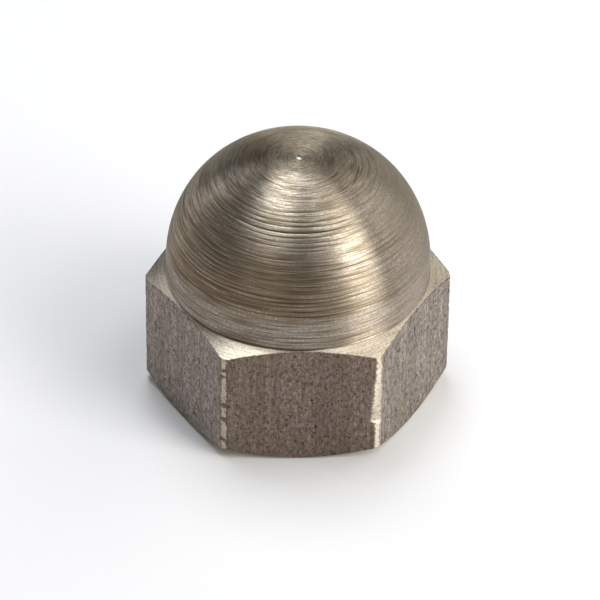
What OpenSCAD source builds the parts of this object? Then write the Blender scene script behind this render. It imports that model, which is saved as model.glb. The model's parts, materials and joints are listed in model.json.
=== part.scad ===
// High domed cap nut, turned in one piece from hexagon bar.
// It stands on its bearing face: the origin is the centre of that face, +Z runs up the thread
// axis towards the dome, and one pair of flats is square to Y. All sizes are in millimetres.

/* [Hexagon] */
// Width across the flats of the bar
across_flats = 13; // [11:0.1:16]
// Height of the hexagon, from the bearing face to the foot of the collar
hex_h = 6.55; // [5.4:0.05:9]
// Depth skimmed off each corner of the bar, which leaves a narrow land there
corner_skim = 0.1; // [0.05:0.05:0.3]
// Slope of the upper corner chamfer, from the horizontal
top_chamfer_angle = 25; // [15:1:32]
// Slope of the lower corner chamfer, from the horizontal
base_chamfer_angle = 30; // [15:1:35]
// Step from the flats in to the edge of the bearing ring
bearing_step = 0.15; // [0.05:0.05:0.5]

/* [Dome] */
// Step from the flats in to the turned collar
collar_step = 0.1; // [0.05:0.05:0.5]
// Height of the straight collar under the dome
collar_h = 0.75; // [0.3:0.05:3]
// Latitude on the dome at which the tighter crown arc takes over
crown_start = 35; // [25:1:60]
// How much smaller the radius of the crown arc is than that of the dome
crown_tighten = 1; // [0.3:0.1:2]
// Depth faced off the tip of the crown, which leaves a small round flat
tip_facing = 0.03; // [0.01:0.01:0.1]

/* [Thread] */
// Nominal diameter of the metric thread
thread_d = 8; // [6:0.1:9.6]
// Pitch of the thread
thread_pitch = 1.25; // [0.75:0.25:1.5]
// Width of the countersunk mouth beyond the nominal diameter
mouth_clearance = 0.6; // [0.2:0.1:1]
// Included angle of the countersink
mouth_angle = 120; // [90:5:120]
// Diameter of the relief groove beyond the nominal diameter
relief_clearance = 0.3; // [0.1:0.1:1]
// Height of the relief groove where the tap runs out
relief_h = 2.2; // [1.8:0.1:3]
// Slope of the shoulders of the relief groove, from the thread axis
relief_shoulder_angle = 45; // [45:5:60]
// Straight drilled wall left above the relief groove
drill_run = 0.3; // [0.1:0.1:1]
// Included angle of the drill point
drill_angle = 118; // [90:1:140]
// Metal left between the tip of the drill point and the crown
crown_wall = 1.6; // [0.8:0.1:3]

/* [Hidden] */
$fn = 96;

// Length by which a cutting shape passes through the face that it opens
cut_past = 1;
// An ISO metric internal thread is this share of its pitch smaller across its crests
thread_depth_share = 1.0825;

// Hexagon
corner_r = across_flats / 2 / cos(30);
land_r = corner_r - corner_skim;
bearing_r = across_flats / 2 - bearing_step;
base_chamfer_h = (land_r - bearing_r) * tan(base_chamfer_angle);

// Dome: a long arc from the collar, then a tighter crown arc that meets it smoothly
dome_r = across_flats / 2 - collar_step;
dome_z = hex_h + collar_h;
crown_r = dome_r - crown_tighten;
crown_x = crown_tighten * cos(crown_start);
crown_z = crown_tighten * sin(crown_start);
dome_h = crown_z + crown_r - tip_facing;
overall_h = dome_z + dome_h;
top_chamfer_h = (land_r - dome_r) * tan(top_chamfer_angle);

// Bore, from the tip of the drill point down to the mouth
core_r = (thread_d - thread_depth_share * thread_pitch) / 2;
tip_z = overall_h - crown_wall;
drill_z = tip_z - core_r / tan(drill_angle / 2);
relief_r = (thread_d + relief_clearance) / 2;
relief_shoulder_h = (relief_r - core_r) / tan(relief_shoulder_angle);
relief_top_z = drill_z - drill_run;
relief_low_z = relief_top_z - relief_h;
mouth_r = (thread_d + mouth_clearance) / 2;
mouth_depth = (mouth_r - core_r) / tan(mouth_angle / 2);

// The hexagon bar, with vertices on X so that one pair of flats is square to Y
module hex_bar() {
    cylinder(h = hex_h, r = corner_r, $fn = 6);
}

// What the lathe leaves of the corners: two chamfer cones and the land between them
module corner_turning() {
    rotate_extrude()
        polygon([
            [0, 0],
            [bearing_r, 0],
            [land_r, base_chamfer_h],
            [land_r, hex_h - top_chamfer_h],
            [dome_r, hex_h],
            [0, hex_h]
        ]);
}

// The wedge under the line at crown_start, drawn from the centre of the dome
module below_crown_line() {
    reach = 2 * dome_r;
    polygon([
        [0, 0],
        [reach * cos(crown_start), reach * sin(crown_start)],
        [reach * cos(crown_start), 0]
    ]);
}

// Half section of the dome, with the dome's centre at the origin
module dome_section() {
    intersection() {
        circle(r = dome_r);
        below_crown_line();
    }
    difference() {
        intersection() {
            union() {
                translate([crown_x, crown_z]) circle(r = crown_r);
                square([crown_x, 2 * dome_r]);
            }
            square([2 * dome_r, dome_h]);
        }
        below_crown_line();
    }
}

module domed_cap() {
    translate([0, 0, hex_h]) cylinder(h = collar_h, r = dome_r);
    translate([0, 0, dome_z]) rotate_extrude() dome_section();
}

// Half section of the blind tapped hole, drawn at the crests of its thread: countersunk
// mouth, threaded wall, relief groove, drilled wall and drill point
module bore_section() {
    polygon([
        [0, -cut_past],
        [mouth_r + cut_past * tan(mouth_angle / 2), -cut_past],
        [core_r, mouth_depth],
        [core_r, relief_low_z],
        [relief_r, relief_low_z + relief_shoulder_h],
        [relief_r, relief_top_z - relief_shoulder_h],
        [core_r, relief_top_z],
        [core_r, drill_z],
        [0, tip_z]
    ]);
}

module cap_nut() {
    color("#9c948a")
        difference() {
            union() {
                intersection() {
                    hex_bar();
                    corner_turning();
                }
                domed_cap();
            }
            rotate_extrude() bore_section();
        }
}

cap_nut();
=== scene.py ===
"""Looks of the cap nut: one turned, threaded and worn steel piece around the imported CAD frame.

The nut's mesh is one closed skin, built from rings of vertices that share the same columns round
the axis. The rings run from the tip of the drill point down the bore, out over the bearing face,
up the hexagon and over the dome. Lengths are in millimetres until the mesh is made. Angles are in
radians from +X, where one corner of the hexagon lies, and latitudes on the dome are in degrees. The
stage, the lamps and the camera are in metres and degrees: azimuth 0 is the front, and 90 the right.
"""
import json
import math

import bpy
import numpy as np
from mathutils import Matrix, Vector


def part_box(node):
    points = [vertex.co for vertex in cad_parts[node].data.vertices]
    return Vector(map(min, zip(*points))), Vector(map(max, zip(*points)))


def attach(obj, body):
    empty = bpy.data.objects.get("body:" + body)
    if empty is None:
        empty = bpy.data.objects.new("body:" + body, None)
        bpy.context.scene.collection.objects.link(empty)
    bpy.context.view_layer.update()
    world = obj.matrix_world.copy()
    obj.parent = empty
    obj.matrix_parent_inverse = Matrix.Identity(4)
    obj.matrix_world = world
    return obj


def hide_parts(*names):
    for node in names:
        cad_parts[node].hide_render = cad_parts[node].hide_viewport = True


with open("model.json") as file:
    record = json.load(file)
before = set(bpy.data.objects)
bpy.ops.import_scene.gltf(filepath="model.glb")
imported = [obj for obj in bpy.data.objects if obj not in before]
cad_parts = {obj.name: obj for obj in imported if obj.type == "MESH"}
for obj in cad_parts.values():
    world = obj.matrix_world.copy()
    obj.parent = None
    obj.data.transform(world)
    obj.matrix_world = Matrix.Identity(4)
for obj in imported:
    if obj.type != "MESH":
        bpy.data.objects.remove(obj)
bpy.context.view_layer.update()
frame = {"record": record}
MM = 0.001
rng = np.random.default_rng(8)

# ------------------------------------------------------------------ sizes that the frame gives
LOW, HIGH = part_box("cap_nut")
MOUNTS = {m["name"]: m for m in frame["record"]["mounts"]}
FLAT_R = (HIGH.y - LOW.y) / 2 / MM
LAND_R = (HIGH.x - LOW.x) / 2 / MM
TOP_Z = HIGH.z / MM
CORE_R = MOUNTS["thread"]["dims"]["r_mm"]

# ------------------------------------------------------------------ sizes that it doesn't state
HEX_H = 6.55
TOP_SLOPE = math.radians(25)
BASE_SLOPE = math.radians(30)
BEARING_INSET = 0.15
DOME_INSET = 0.1
COLLAR_H = 0.75
CROWN_START = math.radians(35)
CROWN_TIGHTEN = 1.0
THREAD_R = 4.0
PITCH = 1.25
MOUTH_FLARE = 0.3
MOUTH_SLOPE = math.radians(60)
RELIEF_DEPTH = 0.15
RELIEF_H = 2.2
CROWN_WALL = 1.6
DRILL_RUN = 0.3
DRILL_HALF = math.radians(59)

BEARING_R = FLAT_R - BEARING_INSET
DOME_R = FLAT_R - DOME_INSET
DOME_Z = HEX_H + COLLAR_H
CROWN_R = DOME_R - CROWN_TIGHTEN
CROWN_X = CROWN_TIGHTEN * math.cos(CROWN_START)
CROWN_Z = DOME_Z + CROWN_TIGHTEN * math.sin(CROWN_START)
LAND_TOP = HEX_H - (LAND_R - DOME_R) * math.tan(TOP_SLOPE)
MOUTH_R = THREAD_R + MOUTH_FLARE
RELIEF_R = THREAD_R + RELIEF_DEPTH
SHOULDER = RELIEF_R - CORE_R
TIP_Z = TOP_Z - CROWN_WALL
DRILL_Z = TIP_Z - CORE_R / math.tan(DRILL_HALF)
RELIEF_TOP = DRILL_Z - DRILL_RUN
RELIEF_LOW = RELIEF_TOP - RELIEF_H

# ------------------------------------------------------------------ columns round the axis
CORNERS = 6
SECTOR = 2 * math.pi / CORNERS
LAND_STEPS = 4
FLAT_STEPS = 32
PER_SECTOR = LAND_STEPS + FLAT_STEPS
COLUMNS = CORNERS * PER_SECTOR
LAND_HALF = SECTOR / 2 - math.acos(FLAT_R / LAND_R)
# How far the columns of a flat are drawn to its ends, from 0 to 1
EASE = 0.3

corner_of = np.repeat(np.arange(CORNERS), PER_SECTOR)
step_of = np.tile(np.arange(PER_SECTOR), CORNERS)
on_land = step_of <= LAND_STEPS
land_share = np.clip(step_of / LAND_STEPS, 0, 1)
flat_line = np.clip((step_of - LAND_STEPS) / FLAT_STEPS, 0, 1)
flat_share = (1 - EASE) * flat_line + EASE * (0.5 - 0.5 * np.cos(math.pi * flat_line))


def place_columns(left, right):
    """Column angles, where left and right are the half angles of the land on each corner."""
    start = corner_of * SECTOR - left[corner_of]
    end = corner_of * SECTOR + right[corner_of]
    following = (corner_of + 1) * SECTOR - left[(corner_of + 1) % CORNERS]
    return np.where(on_land, start + land_share * (end - start), end + flat_share * (following - end))


def edge_radius(half):
    """Radius at which a flat ends, where the land next to it has that half angle."""
    return FLAT_R / np.cos(SECTOR / 2 - half)


def side_radius(angle, left, right):
    """Radius of the hexagon's side: flats, and worn lands between them."""
    from_flat = (angle % SECTOR) - SECTOR / 2
    worn = edge_radius(left)[corner_of] * (1 - land_share) + edge_radius(right)[corner_of] * land_share
    return np.where(on_land, worn, FLAT_R / np.cos(from_flat))


NOMINAL = place_columns(np.full(CORNERS, LAND_HALF), np.full(CORNERS, LAND_HALF))

# ------------------------------------------------------------------ the mesh under construction
DOME, FOOT, CHAMFER, LAND, FLAT, BASE, BEARING, BORE = range(8)
# The material of each of these regions, by its place in the piece's slots
SKINS = [0, 0, 1, 1, 2, 1, 1, 3]
points, quads, regions, uvs, dirt, tone = [], [], [], [], [], []

# Strips of the UV map, as (low v, high v). The six flats share two strips, three to each
STRIPS = {
    "dome": [(0.005, 0.345)], "chamfer": [(0.355, 0.405)], "side": [(0.415, 0.600), (0.610, 0.795)],
    "base": [(0.805, 0.840)], "bore": [(0.850, 0.995)],
}
UV_MARGIN = 0.002
# The share of a strip that its first part takes: the undercut, the bearing face, the plain bore
FOOT_V = 0.02
BEARING_V = 0.55
PLAIN_BORE_V = 0.3


def add_points(angle, r, z):
    """Adds vertices given by angle, radius and height, and returns their numbers."""
    first = sum(len(p) for p in points)
    angle, r, z = (np.ravel(a) for a in np.broadcast_arrays(angle, r, z))
    points.append(np.stack([r * np.cos(angle), r * np.sin(angle), z], 1))
    return np.arange(first, first + len(angle))


def ring(angle, r, z):
    """Adds one ring of vertices, one for each column."""
    return add_points(angle, np.broadcast_to(r, COLUMNS), np.broadcast_to(z, COLUMNS))


def apex(z):
    """Adds one vertex on the axis, as a ring whose columns all meet there."""
    return np.full(COLUMNS, add_points(0.0, 0.0, z)[0])


def add_quads(corners, share, region, strip):
    """Adds rows of quads with corners (rows, columns, 4) and each corner's share of the strip."""
    per_strip = COLUMNS // len(STRIPS[strip])
    i = np.arange(COLUMNS)
    u = np.stack([i % per_strip, i % per_strip + 1, i % per_strip + 1, i % per_strip], 1) / per_strip
    ends = np.array(STRIPS[strip])[i // per_strip]
    v = ends[:, None, 0] + (ends[:, 1] - ends[:, 0])[:, None] * share
    u = np.broadcast_to(UV_MARGIN + (1 - 2 * UV_MARGIN) * u, v.shape)
    quads.append(corners.reshape(-1, 4))
    uvs.append(np.stack([u, v], -1).reshape(-1, 4, 2))
    regions.append(np.broadcast_to(region, (len(corners), COLUMNS)).ravel())


def join_rings(rings, region, strip, v_from=0.0, v_to=1.0):
    """Rows of quads through a list of rings, which face out of the metal."""
    low, high = np.array(rings[:-1]), np.array(rings[1:])
    corners = np.stack([low, np.roll(low, -1, 1), np.roll(high, -1, 1), high], -1)
    v = np.linspace(v_from, v_to, len(rings))
    share = np.stack([v[:-1], v[:-1], v[1:], v[1:]], -1)[:, None, :]
    add_quads(corners, np.broadcast_to(share, corners.shape), region, strip)


def join_levels(start, end, shown, angle, r, z, share, region, strip, turn=0):
    """Fills the band between two rings with level lines that may end on either of them.

    Each array has one row for each level, and a vertex that isn't shown falls on the ring that the
    level has passed there. Going once round the axis moves a level line turn rows on, as a thread
    does.
    """
    passed_start = np.cumsum(shown, 0) > 0
    number = np.where(passed_start, end, start)
    height = np.where(passed_start, 1.0, 0.0)
    number[shown] = add_points(np.broadcast_to(angle, shown.shape)[shown], r[shown], z[shown])
    height[shown] = share[shown]
    pad = np.ones((abs(turn) + 1, COLUMNS), int)
    number = np.concatenate([pad * start, number, pad * end])
    height = np.concatenate([pad * 0.0, height, pad * 1.0])
    following = np.clip(np.arange(len(number)) + turn, 0, len(number) - 1)
    right, right_height = np.roll(number, -1, 1), np.roll(height, -1, 1)
    right[:, -1], right_height[:, -1] = number[following, 0], height[following, 0]
    corners = np.stack([number[:-1], right[:-1], right[1:], number[1:]], -1)
    share = np.stack([height[:-1], right_height[:-1], right_height[1:], height[1:]], -1)
    add_quads(corners, share, region, strip)


# ------------------------------------------------------------------ bore: drill point to mouth
# Rings over the drill point, as shares of its radius
DRILL_RINGS = (0.02, 0.1, 0.3, 0.6, 1.0)
# The thread's section, as shares of the pitch from the middle of a root: the end of the root's
# flat, two more lines on the flank, and the start of the crest's flat
ROOT_END = 1 / 16
FLANK_LINES = np.array([0.17, 0.27])
CREST_START = 3 / 8
# The least distance between a vertex of a level line and the rings that the line may end on
LEVEL_GAP = 0.02


def make_bore():
    """Drill point, relief groove, helical thread and countersink. Returns the ring at the mouth."""
    relief_foot = RELIEF_LOW + SHOULDER
    rings = [apex(TIP_Z)]
    section = [(CORE_R * t, TIP_Z - (TIP_Z - DRILL_Z) * t) for t in DRILL_RINGS]
    section += [(CORE_R, RELIEF_TOP), (RELIEF_R, RELIEF_TOP - SHOULDER), (RELIEF_R, relief_foot)]
    rings += [ring(NOMINAL, r, z) for r, z in section]
    join_rings(rings, BORE, "bore", 0.0, PLAIN_BORE_V)
    mouth = ring(NOMINAL, MOUTH_R, 0.0)
    make_thread(rings[-1], mouth, relief_foot)
    return mouth


def make_thread(top_ring, mouth, top):
    """The right-hand ISO thread, cut by the relief's shoulder above and the countersink below."""
    rise = np.array([ROOT_END, *FLANK_LINES, CREST_START])
    kinks = np.array([-ROOT_END, *rise, 0.5, *(1 - rise[:0:-1])])
    turns = math.ceil(top / PITCH) + 2
    phase = (kinks[None, :] + np.arange(-1, turns - 1)[:, None]).ravel()[::-1]
    z = PITCH * (phase[:, None] - 1 + NOMINAL[None, :] / (2 * math.pi))
    from_root = np.abs((phase + 0.5) % 1 - 0.5)[:, None]
    depth = np.clip((from_root - ROOT_END) / (CREST_START - ROOT_END), 0, 1)
    thread = THREAD_R - (THREAD_R - CORE_R) * depth
    countersink = MOUTH_R - z * math.tan(MOUTH_SLOPE)
    shoulder = RELIEF_R - (top - z)
    r = np.maximum(np.maximum(thread, countersink), shoulder)
    shown = (z > LEVEL_GAP) & (z < top - LEVEL_GAP)
    share = PLAIN_BORE_V + (1 - PLAIN_BORE_V) * (top - z) / top
    join_levels(top_ring, mouth, shown, NOMINAL, r, z, share, BORE, "bore", turn=-len(kinks))


# ------------------------------------------------------------------ hexagon: bearing face to chamfer
BEARING_RINGS = 11
LOWER_CHAMFER_RINGS = (0.25, 0.5, 0.75)
SIDE_ROWS = 64
# The turned ridges on the bearing face and the upper chamfer. On the chamfer they are a feed apart,
# counted from a circle that far outside the lands
RIDGE_H = 0.004
CHAMFER_FEED = 0.045
CHAMFER_START = 0.05
# How far outside the dome the upper chamfer ends
FOOT_GAP = 0.03

# How pale and cool the skin of each flat is painted, from the one at 30 degrees on. The fifth faces the
# front. This is partly the skin's own colour, and partly painted shade on the front flat and painted light
# on the flats beside it
TONES = np.array([0.5, 0.2, 0.6, 0.9, 0.0, 1.0])
# How dull each land has stayed, where 1 is as dark as the bottom of a full nick
DULL = np.array([0.05, 0.1, 0.0, 0.1, 0.24, 0.0])
NICK_DEPTH = 0.05
NICK_HALF = 0.016
NICK_ACROSS = 0.4
# The nicks on each land: height as a share of the side's, place across the land, and depth as a
# share of the full one
NICKS = {0: [(0.70, 0.3, 0.8), (0.22, 0.9, 0.5)], 1: [(0.20, 0.8, 0.7), (0.55, 0.2, 1.0)],
         2: [(0.35, 0.5, 1.0), (0.81, 0.1, 0.6)], 3: [(0.80, 0.7, 0.8), (0.15, 0.4, 0.9)],
         4: [(0.10, 0.4, 0.7), (0.33, 0.6, 1.2), (0.49, 0.7, 1.3), (0.80, 0.2, 0.6), (0.87, 0.5, 0.5)],
         5: [(0.60, 1.0, 0.5), (0.68, 0.9, 0.4)]}
# The front right corner is knocked flat, wider and wider downwards, to a step: heights of the step
# and of the top, and the height over which it widens, as shares of the side's. Then the widths that
# it adds on its left and right, as shares of half a land's
FLARE_CORNER = 5
FLARE_STEP, FLARE_TOP, FLARE_SPAN = 0.29, 0.80, 0.48
FLARE_LEFT, FLARE_RIGHT = 1.35, 0.2
# The lands' uneven width, in small steps and in longer ones: knots up the side, and how much
SMALL_WEAR = (34, 0.12)
LONG_WEAR = (11, 0.14)


def steps(knots, size):
    """A random line up each corner, level at its knots with short ramps between them."""
    values = rng.normal(size=(knots, CORNERS)) * size
    x = np.linspace(0, knots - 1, SIDE_ROWS + 1)
    i = np.minimum(x.astype(int), knots - 2)
    t = np.clip((x - i - 0.25) * 2, 0, 1)[:, None]
    return values[i] * (1 - t) + values[i + 1] * t


def worn_lands():
    """Half angles of the lands up the side, as (rows, corners) for their two edges."""
    left, right = (LAND_HALF * (1 + np.abs(steps(*SMALL_WEAR)) + np.abs(steps(*LONG_WEAR)))
                   for _ in range(2))
    up = np.linspace(0, 1, SIDE_ROWS + 1)
    flare = np.where(up > FLARE_STEP, np.clip((FLARE_TOP - up) / FLARE_SPAN, 0, 1), 0)
    left[:, FLARE_CORNER] += LAND_HALF * FLARE_LEFT * flare
    right[:, FLARE_CORNER] += LAND_HALF * FLARE_RIGHT * flare
    return left, right


def nick_depths():
    """Depth of the nicks on the lands, as (rows, columns)."""
    up = np.linspace(0, 1, SIDE_ROWS + 1)[:, None]
    depth = np.zeros((SIDE_ROWS + 1, COLUMNS))
    for corner, marks in NICKS.items():
        here = (corner_of == corner) & on_land
        for height, place, deep in marks:
            across = np.where(here, np.exp(-((land_share - place) / NICK_ACROSS) ** 2), 0)
            depth += NICK_DEPTH * deep * np.exp(-((up - height) / NICK_HALF) ** 2) * across
    return depth


def make_bearing_face(mouth):
    """The finely turned face that the nut stands on. Returns the ring at its outer edge."""
    rings = [mouth]
    for k, r in enumerate(np.linspace(MOUTH_R, BEARING_R, BEARING_RINGS + 1)[1:], 1):
        on_floor = k % 2 == 0 or k == BEARING_RINGS
        rings.append(ring(NOMINAL, r, 0.0 if on_floor else RIDGE_H))
    join_rings(rings, BEARING, "base", 0.0, BEARING_V)
    return rings[-1]


def make_side(edge):
    """Lower chamfer, flats and worn lands. Returns the ring on top, with its angles and radii."""
    left, right = worn_lands()
    angle = np.array([place_columns(a, b) for a, b in zip(left, right)])
    nicks = nick_depths()
    r = np.array([side_radius(t, a, b) for t, a, b in zip(angle, left, right)]) - nicks
    z_low = (r[0] - BEARING_R) * math.tan(BASE_SLOPE)
    z_high = HEX_H - (r[-1] - DOME_R) * math.tan(TOP_SLOPE)

    lower = [edge]
    for t in LOWER_CHAMFER_RINGS:
        lower.append(ring(NOMINAL + (angle[0] - NOMINAL) * t, BEARING_R + (r[0] - BEARING_R) * t, z_low * t))
    side = []
    for k in range(SIDE_ROWS + 1):
        side.append(ring(angle[k], r[k], z_low + (z_high - z_low) * k / SIDE_ROWS))
        # Nicks are painted darker the deeper they are, as grime with painted shade; dull lands are darker
        # too
        dirt.append((side[-1], nicks[k] / NICK_DEPTH + DULL[corner_of] * on_land))
        # Each flat's colour: partly the skin's own, and partly painted shade and painted light
        tone.append((side[-1], TONES[corner_of] * land_share + TONES[corner_of - 1] * (1 - land_share)))
    join_rings(lower + side[:1], BASE, "base", BEARING_V, 1.0)
    join_rings(side, np.where(step_of < LAND_STEPS, LAND, FLAT), "side")
    return side[-1], angle[-1], r[-1]


def make_upper_chamfer(edge, angle, r):
    """The turned cone over the hexagon's corners. Returns the ring at the dome's foot."""
    foot = ring(NOMINAL, DOME_R + FOOT_GAP, HEX_H - FOOT_GAP * math.tan(TOP_SLOPE))
    inner = DOME_R + FOOT_GAP + LEVEL_GAP
    level_r = np.arange(LAND_R + CHAMFER_START, inner, -CHAMFER_FEED)
    level_r = np.broadcast_to(level_r[:, None], (len(level_r), COLUMNS))
    share = (r - level_r) / (r - DOME_R)
    turned = NOMINAL + (angle - NOMINAL) * (1 - np.clip(share, 0, 1))
    ridge = np.where(np.arange(len(level_r)) % 2, 0.0, -RIDGE_H)[:, None]
    shown = (level_r < r - LEVEL_GAP) & (level_r > inner)
    z = HEX_H - (level_r - DOME_R) * math.tan(TOP_SLOPE) + ridge
    join_levels(edge, foot, shown, turned, level_r, z, share, CHAMFER, "chamfer")
    return foot


# ------------------------------------------------------------------ dome
# The undercut at the dome's foot: its depth, its height, and the height of its lower edge
FOOT_DEPTH = 0.06
FOOT_H = 0.1
FOOT_EDGE_H = 0.01
# The faced tip, and the nib on it, whose rings are shares of its radius
TIP_LATITUDE = 80
TIP_FEED = 0.06
NIB_R = 0.15
NIB_H = 0.014
NIB_GAP = 0.04
NIB_RINGS = (1.0, 0.8, 0.55, 0.25)

# The side on which the dome has a patch that is partly tarnish and partly painted shade, and on which its
# grooves are deep, and the one to which the crown's deep grooves keep. The far side has painted light
DEEP_SIDE = math.radians(238)
CROWN_SIDE = math.radians(255)
# The turned grooves, by the latitude from which they hold: feed, depth, the side on which they are
# deepest, and how fast they fade away from it
CUTS = [(-6, 0.14, 0.0012, DEEP_SIDE, 0.95), (0, 0.20, 0.0030, DEEP_SIDE, 0.95),
        (8.2, 0.27, 0.016, DEEP_SIDE, 0.95), (10.5, 0.22, 0.010, DEEP_SIDE, 0.95),
        (33, 0.20, 0.0085, CROWN_SIDE, 2.0), (41, 0.245, 0.018, CROWN_SIDE, 2.4),
        (58, 0.20, 0.0065, CROWN_SIDE, 2.4), (68, 0.16, 0.0015, CROWN_SIDE, 0.95)]
# How much the grooves of one kind differ in feed and in depth, and the least feed
FEED_SPREAD, DEPTH_SPREAD = 0.16, 0.6
LEAST_FEED = 0.1
# What a groove has of its depth on its deep side, and the least and most that it has anywhere. Random
# waves round the axis vary it
DEEP_SHARE, LEAST_SHARE, MOST_SHARE = 1.3, 0.08, 2.0
WAVES, WAVE_SIZE = 9, 0.22

# The section of one turned groove, as (share of the feed, share of the depth), and of a fine one
GROOVE = [(0.0, 0.0), (0.58, 0.06), (0.70, 0.45), (0.77, 1.0), (0.86, 0.35)]
FINE_GROOVE = [(0.0, 0.0), (0.5, 1.0)]
FINE_DEPTH = 0.0018
# The depth from which a groove is darkest, with grime and painted shade
FULL_DIRT = 0.012


def meridian(s):
    """Radius, height and outward normal of the dome's section, s along it from the hexagon's top."""
    arc = DOME_R * CROWN_START
    if s < COLLAR_H:
        return DOME_R, HEX_H + s, 1.0, 0.0
    if s < COLLAR_H + arc:
        a = (s - COLLAR_H) / DOME_R
        return DOME_R * math.cos(a), DOME_Z + DOME_R * math.sin(a), math.cos(a), math.sin(a)
    a = min(CROWN_START + (s - COLLAR_H - arc) / CROWN_R, math.pi / 2)
    return CROWN_X + CROWN_R * math.cos(a), CROWN_Z + CROWN_R * math.sin(a), math.cos(a), math.sin(a)


def at_latitude(degrees):
    """Distance along the section to a latitude of the dome."""
    a = math.radians(degrees)
    if a < CROWN_START:
        return COLLAR_H + a * DOME_R
    return COLLAR_H + CROWN_START * DOME_R + (a - CROWN_START) * CROWN_R


def cut_at(s):
    """The cut that holds at s, without its latitude."""
    return [cut[1:] for cut in CUTS if s >= at_latitude(cut[0])][-1]


def wave():
    """A smooth random function round the axis, given at each column."""
    k = np.arange(1, WAVES + 1)[:, None]
    swing = rng.normal(size=(WAVES, 1)) * np.cos(k * NOMINAL + rng.uniform(0, 6.28, (WAVES, 1)))
    return WAVE_SIZE * swing.sum(0) / math.sqrt(WAVES)


def make_grooves(collar, tip_s):
    """Rings from the collar's lowest one to the tip, which give each turned groove its section."""
    rings = [collar]
    s = FOOT_H
    while s < tip_s:
        feed, depth, side, fade = cut_at(s)
        feed = max(feed * (1 + FEED_SPREAD * rng.normal()), LEAST_FEED)
        depth = depth * float(np.exp(DEPTH_SPREAD * rng.normal()))
        fading = DEEP_SHARE - fade * (1 - np.cos(NOMINAL - side)) + wave()
        depth_round = depth * np.clip(fading, LEAST_SHARE, MOST_SHARE)
        for along, deep in GROOVE if depth > FINE_DEPTH else FINE_GROOVE:
            place = s + feed * along
            if not FOOT_H < place < tip_s:
                continue
            r, z, nr, nz = meridian(place)
            rings.append(ring(NOMINAL, r - nr * depth_round * deep, z - nz * depth_round * deep))
            # Deeper grooves are painted darker, as grime and painted shade
            dirt.append((rings[-1], np.clip(depth_round * deep / FULL_DIRT, 0, 1)))
        s += feed
    return rings


def make_tip(tip_s):
    """Rings over the tip, which is faced nearly flat, rounds into the dome and has a small nib."""
    tip_r, tip_z = meridian(tip_s)[:2]
    flat_z = TOP_Z - NIB_H
    # With this power the tip has the dome's slope where they meet
    power = tip_r / math.tan(math.radians(TIP_LATITUDE)) / (flat_z - tip_z)
    rings = []
    for r in np.arange(tip_r, NIB_R + NIB_GAP, -TIP_FEED):
        rings.append(ring(NOMINAL, r, flat_z - (flat_z - tip_z) * (r / tip_r) ** power))
    for t in NIB_RINGS:
        rings.append(ring(NOMINAL, NIB_R * t, flat_z + NIB_H * (1 - t * t)))
    return rings + [apex(TOP_Z)]


def make_dome(foot):
    """The undercut at the foot, the collar, the grooved dome, and the tip with its nib."""
    under_r = DOME_R - FOOT_DEPTH
    under = [foot, ring(NOMINAL, under_r, HEX_H + FOOT_EDGE_H),
             ring(NOMINAL, under_r, HEX_H + 0.5 * FOOT_H), ring(NOMINAL, DOME_R, HEX_H + FOOT_H)]
    join_rings(under, FOOT, "dome", 0.0, FOOT_V)
    tip_s = at_latitude(TIP_LATITUDE)
    join_rings(make_grooves(under[-1], tip_s) + make_tip(tip_s), DOME, "dome", FOOT_V, 1.0)


# ------------------------------------------------------------------ from arrays to a Blender mesh
# The bend in radians from which an edge of the thread is sharp
THREAD_CREASE = 0.4


def build_piece():
    """Makes the nut's object, with sharp edges between its cuts and its own UV map."""
    edge = make_bearing_face(make_bore())
    make_dome(make_upper_chamfer(*make_side(edge)))
    co = np.concatenate(points)
    corners, region, uv = np.concatenate(quads), np.concatenate(regions), np.concatenate(uvs)
    # A quad with two equal corners becomes a triangle, and one with fewer than three goes
    differs = corners != np.roll(corners, 1, 1)
    wanted = differs.sum(1) >= 3
    corners, region, uv, differs = corners[wanted], region[wanted], uv[wanted], differs[wanted]
    sizes = differs.sum(1)
    starts = np.concatenate([[0], np.cumsum(sizes)[:-1]])

    data = bpy.data.meshes.new("turned_nut")
    data.vertices.add(len(co))
    data.vertices.foreach_set("co", (co * MM).astype(np.float32).ravel())
    data.loops.add(int(sizes.sum()))
    data.loops.foreach_set("vertex_index", corners[differs].astype(np.int32))
    data.polygons.add(len(corners))
    data.polygons.foreach_set("loop_start", starts.astype(np.int32))
    layer = data.uv_layers.new(name="OFBake")
    layer.uv.foreach_set("vector", uv[differs].astype(np.float32).ravel())
    data.polygons.foreach_set("material_index", np.array(SKINS)[region].astype(np.int32))
    data.update(calc_edges=True)
    data.validate(verbose=True)
    mark_sharp(data, region)
    for name, rows in (("dirt", dirt), ("tone", tone)):
        values = np.zeros(len(co), np.float32)
        for numbers, amount in rows:
            values[numbers] = amount
        data.attributes.new(name, "FLOAT", "POINT").data.foreach_set("value", values)
    nut = bpy.data.objects.new("turned_nut", data)
    bpy.context.scene.collection.objects.link(nut)
    return nut


def mark_sharp(data, region):
    """Keeps the edges between two cuts crisp, and the thread's own edges."""
    data.shade_smooth()
    loops = np.zeros(len(data.loops), np.int32)
    data.loops.foreach_get("edge_index", loops)
    sizes = np.zeros(len(data.polygons), np.int32)
    data.polygons.foreach_get("loop_total", sizes)
    normals = np.zeros(len(data.polygons) * 3, np.float32)
    data.polygons.foreach_get("normal", normals)
    normals = normals.reshape(-1, 3)
    # Each edge has two loops, so the sorted loops give the two polygons on its sides
    owner = np.repeat(np.arange(len(sizes)), sizes)
    order = np.argsort(loops, kind="stable")
    one, two = owner[order][0::2], owner[order][1::2]
    cosine = np.einsum("ij,ij->i", normals[one], normals[two])
    in_bore = region[one] == BORE
    crease = (region[one] != region[two]) | (in_bore & (cosine < math.cos(THREAD_CREASE)))
    sharp = data.attributes.new("sharp_edge", "BOOLEAN", "EDGE")
    sharp.data.foreach_set("value", crease)


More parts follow.
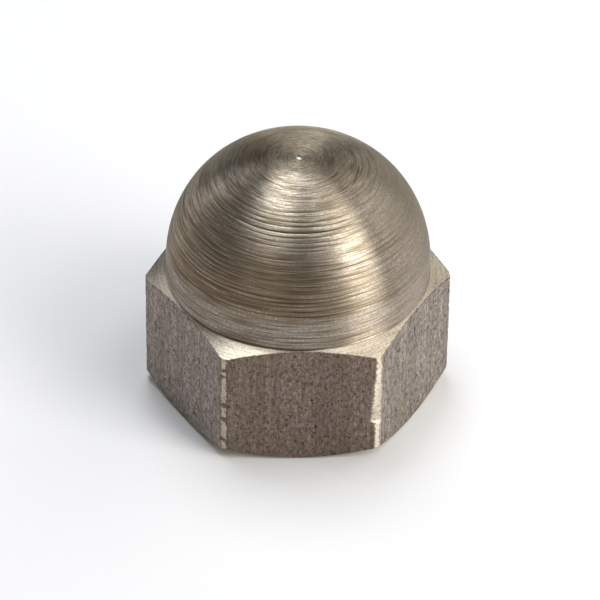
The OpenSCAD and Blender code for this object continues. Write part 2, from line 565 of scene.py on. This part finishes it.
# ------------------------------------------------------------------ shader helpers
class Shader:
    """A Principled material, and short calls that wire nodes into it.

    at is the position in millimetres, x, y and z are its parts, and r is the distance from the axis.
    Where a call takes a value, it takes a number or another node's socket.
    """

    def __init__(self, name):
        self.material = bpy.data.materials.new(name)
        self.material.use_nodes = True
        self.tree = self.material.node_tree
        self.surface = self.tree.nodes["Principled BSDF"]
        place = self.add("ShaderNodeTexCoord").outputs["Object"]
        self.at = self.vector("MULTIPLY", place, (1 / MM, 1 / MM, 1 / MM))
        self.x, self.y, self.z = self.add("ShaderNodeSeparateXYZ", Vector=self.at).outputs
        self.r = self.math("SQRT", self.plus(self.times(self.x, self.x), self.times(self.y, self.y)))

    def add(self, kind, settings=None, **inputs):
        """A node with these settings and inputs."""
        node = self.tree.nodes.new(kind)
        for key, value in (settings or {}).items():
            setattr(node, key, value)
        for key, value in inputs.items():
            self.put(node.inputs[key], value)
        return node

    def put(self, socket, value):
        """Wires a socket into an input, or sets the input to a number, vector or colour."""
        if isinstance(value, bpy.types.NodeSocket):
            self.tree.links.new(value, socket)
        else:
            socket.default_value = value

    def math(self, operation, *values):
        """The result of one Math node."""
        node = self.add("ShaderNodeMath", {"operation": operation})
        for socket, value in zip(node.inputs, values):
            self.put(socket, value)
        return node.outputs[0]

    def times(self, first, *others):
        """The product of all the values."""
        for other in others:
            first = self.math("MULTIPLY", first, other)
        return first

    def plus(self, one, two):
        """The sum of two values."""
        return self.math("ADD", one, two)

    def vector(self, operation, *values):
        """The result of one Vector Math node."""
        node = self.add("ShaderNodeVectorMath", {"operation": operation})
        for socket, value in zip(node.inputs, values):
            self.put(socket, value)
        return node.outputs["Value" if operation == "DOT_PRODUCT" else "Vector"]

    def noise(self, where, scale, detail, rough, lift=0.0):
        """Noise of about 0 to 1. lift moves the pattern, so that two of them differ."""
        if lift:
            where = self.vector("ADD", where, (lift, lift * 0.7, lift * 1.3))
        node = self.add("ShaderNodeTexNoise", Vector=where, Scale=scale, Detail=detail, Roughness=rough)
        return node.outputs["Fac"]

    def ramp(self, value, low, high, to_low=0.0, to_high=1.0):
        """Takes low..high smoothly to to_low..to_high, and clamps outside."""
        node = self.add("ShaderNodeMapRange", {"interpolation_type": "SMOOTHSTEP"})
        for socket, number in zip(node.inputs, (value, low, high, to_low, to_high)):
            self.put(socket, number)
        return node.outputs["Result"]

    def mix(self, share, one, two, blend="MIX"):
        """Mixes two colours. The node's colours are its inputs 6 and 7, and its output 2."""
        node = self.add("ShaderNodeMix", {"data_type": "RGBA", "blend_type": blend})
        self.put(node.inputs["Factor"], share)
        for socket, colour in ((node.inputs[6], one), (node.inputs[7], two)):
            self.put(socket, (*colour, 1.0) if isinstance(colour, tuple) else colour)
        return node.outputs[2]

    def stretch(self, along_z):
        """Position with its height multiplied, for marks that run up the nut."""
        return self.vector("MULTIPLY", self.at, (1.0, 1.0, along_z))

    def polar(self, round_axis, s):
        """Coordinates for rings: how often a pattern changes on the way round, and place across."""
        cos = self.times(self.math("DIVIDE", self.x, self.r), round_axis)
        sin = self.times(self.math("DIVIDE", self.y, self.r), round_axis)
        return self.add("ShaderNodeCombineXYZ", X=cos, Y=sin, Z=s).outputs[0]

    def turned(self, round_axis, across):
        """Coordinates for rings on the dome, where across is how often they change in a millimetre."""
        latitude = self.math("ARCTAN2", self.math("SUBTRACT", self.z, DOME_Z), self.r)
        return self.polar(round_axis, self.times(latitude, DOME_R * across))

    def toward(self, angle):
        """How far this point lies from the axis in the direction of an angle."""
        return self.vector("DOT_PRODUCT", self.at, (math.cos(angle), math.sin(angle), 0))

    def across_flats(self):
        """Distance from the axis to the hexagon through this point, FLAT_R on a flat."""
        one, two, three = (self.math("ABSOLUTE", self.toward(SECTOR / 2 + k * SECTOR)) for k in range(3))
        return self.math("MAXIMUM", self.math("MAXIMUM", one, two), three)

    def attribute(self, name):
        """A value that the mesh carries at its vertices."""
        return self.add("ShaderNodeAttribute", {"attribute_name": name}).outputs["Fac"]

    def brush(self, amount):
        """Stretches highlights across the turned rings, a quarter turn from their tangent."""
        tangent = self.add("ShaderNodeTangent", {"direction_type": "RADIAL", "axis": "Z"})
        self.put(self.surface.inputs["Anisotropic"], amount)
        self.put(self.surface.inputs["Anisotropic Rotation"], 0.25)
        self.put(self.surface.inputs["Tangent"], tangent.outputs[0])

    def finish(self, colour, rough, height, depth, metal=1.0):
        """Sets the surface, with a bump of that depth, and returns the material."""
        bump = self.add("ShaderNodeBump", Height=height, Distance=depth * MM)
        self.put(self.surface.inputs["Base Color"], colour)
        self.put(self.surface.inputs["Roughness"], rough)
        self.put(self.surface.inputs["Metallic"], metal)
        self.put(self.surface.inputs["Specular Tint"], EDGE_ON)
        self.put(self.surface.inputs["Normal"], bump.outputs["Normal"])
        return self.material


# ------------------------------------------------------------------ colours
# Turned steel on the dome, a colour for painted sparkle highlights, the colour of grime and painted shade in
# grooves and nicks, and what a metal mirrors where it is seen edge on
STEEL = (0.500, 0.456, 0.382)
STEEL_DARK = (0.200, 0.158, 0.104)
GLINT = (0.78, 0.74, 0.65)
GRIME = (0.088, 0.063, 0.042)
EDGE_ON = (0.62, 0.61, 0.60, 1.0)
# Painted light on the dome's right, and tints that multiply its colour: painted shade high on its right,
# tarnish that is partly painted shade, a painted reflection tint on the collar's front, and painted light on
# the collar's right
RUBBED = (0.46, 0.42, 0.35)
DIMMED = (0.84, 0.82, 0.78)
TARNISH = (0.65, 0.53, 0.42)
COLLAR_TINT = (0.97, 0.95, 1.0)
COLLAR_RUBBED = (1.28, 1.23, 1.26)
# Cut steel on the hexagon and in the bore
BARE = (0.74, 0.66, 0.53)
BARE_DARK = (0.40, 0.34, 0.26)
# The skin of the drawn bar, and tints that multiply it: two for brown flats, darker as painted shade, and
# two for pale ones, lighter as painted light
SKIN_LIGHT = (0.440, 0.386, 0.340)
SKIN_MID = (0.225, 0.197, 0.173)
SKIN_DARK = (0.149, 0.128, 0.110)
PIT = (0.033, 0.026, 0.023)
BROWN_FACE = (0.90, 0.77, 0.74)
OLIVE_FACE = (0.90, 0.81, 0.69)
PALE_FACE = (1.49, 1.47, 1.40)
LILAC_FACE = (1.44, 1.41, 1.47)


# ------------------------------------------------------------------ materials
def dome_steel():
    """Turned stainless steel: fine rings, painted sparkle highlights, grooves darkened with grime and
    painted shade, and a nib painted bright as a highlight.
    """
    m = Shader("dome_steel")
    rings = m.noise(m.turned(1.3, 8.0), 1.0, 2.0, 0.6)
    hair = m.noise(m.turned(3.5, 15.0), 1.0, 1.0, 0.6, lift=4.0)
    grain = m.noise(m.at, 10.0, 1.0, 0.6, lift=9.0)
    streak = m.plus(m.times(rings, 0.45), m.times(hair, 0.55))
    # Painted light and painted shade on the dome, with tarnish
    colour = worn(m, m.mix(m.ramp(streak, 0.34, 0.62), STEEL_DARK, STEEL))
    # Grooves darkened by their depth: grime and painted shade
    colour = m.mix(m.ramp(m.attribute("dirt"), 0.2, 0.9, 0.0, 0.8), colour, GRIME)
    colour = m.mix(m.ramp(grain, 0.30, 0.70, 0.45, 0.0), colour, STEEL_DARK)
    # Painted sparkle highlights where the hair lines and the grain peak
    glint = m.times(m.ramp(hair, 0.58, 0.70), m.ramp(grain, 0.52, 0.70), 0.4)
    colour = m.mix(glint, colour, GLINT)
    # The nib is painted bright, a painted highlight
    nib = m.ramp(m.r, NIB_R, NIB_R + 0.05, 1.0, 0.0)
    colour = m.mix(nib, colour, GLINT)
    rough = m.ramp(m.plus(m.times(streak, 0.6), m.times(grain, 0.4)), 0.35, 0.65, 0.45, 0.35)
    rough = m.times(rough, m.ramp(nib, 0.0, 1.0, 1.0, 0.6))
    m.brush(m.ramp(m.r, 0.4, 2.2, 0.4, 0.93))
    return m.finish(colour, rough, m.plus(streak, m.times(grain, 0.3)), 0.010)


def worn(m, colour):
    """The dome's colour with painted light and shade: painted light low on its right, painted shade high on
    its right, a painted reflection tint and painted light on the collar, and on its front left a patch that
    is partly tarnish and partly painted shade.
    """
    toward = m.toward(DEEP_SIDE)
    # Painted light on the dome's right and back, below the crown
    rubbed = m.times(m.ramp(toward, 3.2, -1.2, 0.0, 0.80), m.ramp(m.z, TOP_Z - 1.2, TOP_Z - 0.3, 1.0, 0.0))
    colour = m.mix(rubbed, colour, RUBBED)
    # Painted shade high on the dome's right
    dimmed = m.times(m.ramp(toward, 1.6, -0.2), m.ramp(m.z, DOME_Z + 2.2, DOME_Z + 4.0))
    colour = m.mix(dimmed, colour, DIMMED, "MULTIPLY")
    # On the collar: a painted reflection tint on the front left, and painted light on the right
    collar = m.mix(m.ramp(toward, 5.0, 1.0), COLLAR_TINT, COLLAR_RUBBED)
    colour = m.mix(m.ramp(m.z, DOME_Z + 0.2, DOME_Z + 1.4, 0.8, 0.0), colour, collar, "MULTIPLY")
    # A patch on the front left, partly tarnish and partly painted shade
    stain = m.times(m.ramp(m.z, DOME_Z + 0.5, DOME_Z + 1.2),
                    m.ramp(m.z, DOME_Z + 3.0, DOME_Z + 5.2, 1.0, 0.0), m.ramp(toward, 2.6, 5.4, 0.20, 0.66))
    cloud = m.ramp(m.noise(m.at, 0.45, 3.0, 0.6), 0.35, 0.7, 0.0, 0.25)
    return m.mix(m.plus(stain, cloud), colour, TARNISH, "MULTIPLY")


def tinted(m, colour):
    """The skin's colour on this flat: brown or olive on some, and pale or lilac on others. The brown ones
    are darkened by painted shade, and the pale ones lightened by painted light.
    """
    hue = m.ramp(m.noise(m.stretch(0.35), 1.6, 3.0, 0.5, lift=29.0), 0.36, 0.64)
    # Brown flats are darkened by painted shade, and pale ones lightened by painted light
    face = m.mix(m.attribute("tone"), m.mix(hue, OLIVE_FACE, BROWN_FACE), m.mix(hue, PALE_FACE, LILAC_FACE))
    return m.mix(1.0, colour, face, "MULTIPLY")


def edge_speck(m):
    """The noise that makes the border between skin and bare steel ragged."""
    return m.noise(m.at, 5.5, 3.0, 0.65, lift=3.0)


def skin_left(m):
    """How far skin from the flats reaches over the edge of a turned cut, as 0 to 1."""
    reach = m.plus(m.across_flats(), m.times(edge_speck(m), 0.16))
    return m.ramp(reach, FLAT_R + 0.030, FLAT_R + 0.044)


def land_grime(m, grain):
    """Grime on the lands: in their dull patches and in blots, and grime with painted shade in their nicks.
    """
    blot = m.ramp(m.noise(m.at, 3.2, 3.0, 0.65, lift=13.0), 0.54, 0.68, 0.0, 0.6)
    blot = m.times(blot, m.ramp(m.z, LAND_TOP - 0.1, LAND_TOP, 1.0, 0.0),
                   m.ramp(m.r, LAND_R - 0.25, LAND_R - 0.15))
    torn = m.plus(m.attribute("dirt"), m.times(m.math("SUBTRACT", grain, 0.5), 1.1))
    return m.math("MAXIMUM", blot, m.ramp(torn, 0.25, 0.5, 0.0, 0.85))


def face_steel():
    """The turned chamfers, lands and bearing face: bare and bright, with skin left at their edges."""
    m = Shader("face_steel")
    rings = m.noise(m.polar(2.5, m.times(m.r, 20.0)), 1.0, 3.0, 0.6)
    grain = m.noise(m.at, 8.0, 3.0, 0.7, lift=5.0)
    cut = m.plus(m.times(rings, 0.55), m.times(grain, 0.45))
    skin = skin_left(m)
    colour = m.mix(m.ramp(cut, 0.36, 0.62), BARE_DARK, BARE)
    # Skin at the cut's edges takes each flat's painted shade and painted light
    colour = m.mix(skin, colour, tinted(m, SKIN_MID))
    # Grime on the lands, with painted shade in the nicks
    colour = m.mix(land_grime(m, grain), colour, GRIME)
    m.brush(0.8)
    return m.finish(colour, m.ramp(skin, 0.0, 1.0, 0.38, 0.55), cut, 0.006)


def bar_skin():
    """The drawn and pickled skin of the bar: matt, mottled, scored and full of small pits."""
    m = Shader("bar_skin")
    mottle = m.noise(m.stretch(0.6), 6.0, 4.0, 0.8)
    grain = m.noise(m.at, 17.0, 2.0, 0.7, lift=19.0)
    drawn = m.noise(m.stretch(0.04), 11.0, 3.0, 0.7, lift=11.0)
    bands = m.noise(m.stretch(0.02), 2.2, 2.0, 0.5, lift=7.0)
    scored = m.noise(m.stretch(0.03), 7.0, 2.0, 0.6, lift=37.0)
    small_pits = m.ramp(m.noise(m.stretch(0.8), 9.0, 2.0, 0.55, lift=27.0), 0.60, 0.68)
    large_pits = m.ramp(m.noise(m.stretch(0.6), 5.0, 2.0, 0.55, lift=15.0), 0.61, 0.69)
    pits = m.math("MAXIMUM", small_pits, large_pits)
    # Near the corners the skin gives way to bare steel, which is wear
    rubbed = m.ramp(m.plus(m.r, m.times(edge_speck(m), 0.12)), LAND_R + 0.068, LAND_R + 0.080)

    colour = m.mix(m.ramp(mottle, 0.38, 0.62), SKIN_DARK, SKIN_LIGHT)
    for pattern, share in ((grain, 0.55), (drawn, 0.5), (bands, 0.4)):
        colour = m.mix(m.ramp(pattern, 0.38, 0.60, share, 0.0), colour, SKIN_DARK)
    colour = m.mix(m.ramp(scored, 0.60, 0.70, 0.0, 0.22), colour, SKIN_LIGHT)
    # Each flat's tint: the skin's own hue, with painted shade and painted light
    colour = tinted(m, colour)
    colour = m.mix(m.times(pits, 0.8), colour, PIT)
    colour = m.mix(rubbed, colour, STEEL)
    height = m.math("SUBTRACT", m.times(m.plus(mottle, grain), 0.4), pits)
    return m.finish(colour, m.ramp(mottle, 0.3, 0.7, 0.60, 0.48), height, 0.012, metal=0.8)


def bore_steel():
    """The tapped hole: bright cut steel, with the chatter marks of drill and tap."""
    m = Shader("bore_steel")
    chatter = m.noise(m.polar(4.0, m.times(m.z, 24.0)), 1.0, 3.0, 0.6)
    colour = m.mix(m.ramp(chatter, 0.3, 0.7), STEEL, BARE)
    return m.finish(colour, m.ramp(chatter, 0.3, 0.7, 0.45, 0.34), chatter, 0.003)


# ------------------------------------------------------------------ camera
# The photograph's view, fitted to the nut's outline: above the front flat, a hair to its left. The
# camera aims a little to the right of the target and below it
TARGET = Vector((0, 0, 7.15)) * MM
AZIMUTH, ELEVATION, ROLL = -2.10, 37.1, 0.75
DISTANCE = 221 * MM
AIM_RIGHT, AIM_DOWN = 0.093 * MM, 1.974 * MM
LENS = 274.0
SENSOR = 36.0
CLIP = (0.01, 10.0)


def direction(azimuth, elevation):
    """Unit vector to a place round the nut."""
    a, e = math.radians(azimuth), math.radians(elevation)
    return Vector((math.sin(a) * math.cos(e), -math.cos(a) * math.cos(e), math.sin(e)))


def make_camera():
    """Sets the camera at the photograph's view."""
    away = direction(AZIMUTH, ELEVATION)
    roll = math.radians(ROLL)
    right = (-away).cross(Vector((0, 0, 1))).normalized()
    up = right.cross(-away)
    tilted_right = right * math.cos(roll) + up * math.sin(roll)
    tilted_up = up * math.cos(roll) - right * math.sin(roll)
    place = TARGET + away * DISTANCE
    aim = TARGET + tilted_right * AIM_RIGHT - tilted_up * AIM_DOWN
    back = (place - aim).normalized()
    side = tilted_up.cross(back).normalized()
    data = bpy.data.cameras.new("camera")
    data.lens = LENS
    data.sensor_width = SENSOR
    data.clip_start, data.clip_end = CLIP
    camera = bpy.data.objects.new("camera", data)
    bpy.context.scene.collection.objects.link(camera)
    turn = Matrix((side, back.cross(side), back)).transposed()
    camera.matrix_world = Matrix.Translation(place) @ turn.to_4x4()
    bpy.context.scene.camera = camera


# ------------------------------------------------------------------ lamps
# Each lamp's azimuth, elevation, distance, width, height, radiance, colour and turn on its own axis
LAMPS = {
    "key_right": (57, 29, 0.36, 0.186, 0.372, 5.55, (1.0, 0.985, 0.945), 0),
    "top_strip": (-158, 70, 0.30, 0.23, 0.11, 6.85, (0.93, 0.96, 1.0), 48),
    "top_left": (-36, 54, 0.30, 0.10, 0.13, 1.1, (1.0, 0.95, 0.86), 0),
    "top_front": (48, 70, 0.30, 0.07, 0.16, 3.1, (1.0, 1.0, 1.0), -34),
    "top_right": (118, 48, 0.30, 0.085, 0.21, 1.3, (1.0, 0.96, 0.90), 47),
    "rim_right": (110, 28, 0.34, 0.30, 0.27, 1.1, (0.98, 0.97, 1.0), 0),
    "rim_left": (-133, 28, 0.34, 0.12, 0.25, 1.25, (0.90, 0.92, 1.0), 0),
    "back_right": (150, 20, 0.36, 0.14, 0.19, 1.0, (1.0, 0.98, 0.96), 0),
}
WORLD_COLOUR = (1.0, 0.98, 0.95, 1.0)
WORLD_STRENGTH = 0.045


def softbox(name, azimuth, elevation, distance, width, height, radiance, colour, turn):
    """A rectangular lamp that faces the nut. radiance 1 is as bright as a white wall."""
    data = bpy.data.lights.new(name, "AREA")
    data.shape = "RECTANGLE"
    data.size, data.size_y = width, height
    data.energy = radiance * math.pi * width * height
    data.color = colour
    lamp = bpy.data.objects.new(name, data)
    bpy.context.scene.collection.objects.link(lamp)
    away = direction(azimuth, elevation)
    lamp.location = TARGET + away * distance
    lamp.rotation_mode = "QUATERNION"
    facing = away.to_track_quat("Z", "Y").to_matrix()
    lamp.rotation_quaternion = (facing @ Matrix.Rotation(math.radians(turn), 3, "Z")).to_quaternion()
    lamp.visible_camera = False


def make_lamps():
    """The soft boxes round the nut, and a faint even light from everywhere."""
    for name, facts in LAMPS.items():
        softbox(name, *facts)
    world = bpy.data.worlds.new("studio")
    bpy.context.scene.world = world
    world.use_nodes = True
    background = world.node_tree.nodes["Background"]
    background.inputs["Color"].default_value = WORLD_COLOUR
    background.inputs["Strength"].default_value = WORLD_STRENGTH


# ------------------------------------------------------------------ stage
FLOOR_R, WALL_R, WALL_H = 0.38, 0.62, 0.45
FLOOR_RINGS = (0.1, 0.5, 1.0)
BEND_STEPS = 12
ROUND_STEPS = 96
PAPER = (0.82, 0.82, 0.83)
HIGH_WALL = (0.12, 0.12, 0.125)
# In millimetres: the heights between which the wall goes dark, and the radii between which the
# paper begins to glow, to that strength
DARK_FROM, DARK_TO = 45.0, 90.0
GLOW_FROM, GLOW_TO, GLOW = 80.0, 420.0, 0.58


def floor_paper():
    """Pale matt paper, which is seen as pale far from the lamps as it is near them."""
    m = Shader("floor_paper")
    low = m.ramp(m.z, DARK_FROM, DARK_TO, 1.0, 0.0)
    path = m.add("ShaderNodeLightPath").outputs
    seen = m.math("MAXIMUM", path["Is Camera Ray"], path["Is Glossy Ray"])
    seen = m.math("MAXIMUM", seen, path["Is Transmission Ray"])
    glow = m.times(m.ramp(m.r, GLOW_FROM, GLOW_TO, 0.0, GLOW), low, seen)
    m.put(m.surface.inputs["Base Color"], m.mix(low, HIGH_WALL, PAPER))
    m.put(m.surface.inputs["Emission Color"], (0.99, 0.99, 1.0, 1.0))
    m.put(m.surface.inputs["Emission Strength"], glow)
    m.put(m.surface.inputs["Roughness"], 0.9)
    m.put(m.surface.inputs["Specular IOR Level"], 0.2)
    return m.material


def make_stage():
    """A pale round floor that curves up into a wall all round, lit by the lamps."""
    bend = WALL_R - FLOOR_R
    section = [(FLOOR_R * t, 0.0) for t in FLOOR_RINGS]
    section += [(FLOOR_R + bend * math.sin(a), bend - bend * math.cos(a))
                for a in np.linspace(0, math.pi / 2, BEND_STEPS + 1)[1:]]
    section += [(WALL_R, WALL_H)]
    verts = [(0, 0, 0)]
    for r, z in section:
        for k in range(ROUND_STEPS):
            a = 2 * math.pi * k / ROUND_STEPS
            verts.append((r * math.cos(a), r * math.sin(a), z))
    faces = [(0, 1 + k, 1 + (k + 1) % ROUND_STEPS) for k in range(ROUND_STEPS)]
    for row in range(len(section) - 1):
        first = 1 + row * ROUND_STEPS
        for k in range(ROUND_STEPS):
            here, following = first + k, first + (k + 1) % ROUND_STEPS
            faces.append((here, here + ROUND_STEPS, following + ROUND_STEPS, following))
    data = bpy.data.meshes.new("floor")
    data.from_pydata(verts, [], faces)
    data.shade_smooth()
    data.materials.append(floor_paper())
    floor = bpy.data.objects.new("floor", data)
    bpy.context.scene.collection.objects.link(floor)


# ------------------------------------------------------------------ the scene
bpy.context.scene.view_settings.view_transform = "Standard"
nut = build_piece()
for material in (dome_steel(), face_steel(), bar_skin(), bore_steel()):
    nut.data.materials.append(material)
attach(nut, "root")
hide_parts("cap_nut")

make_camera()
make_lamps()
make_stage()
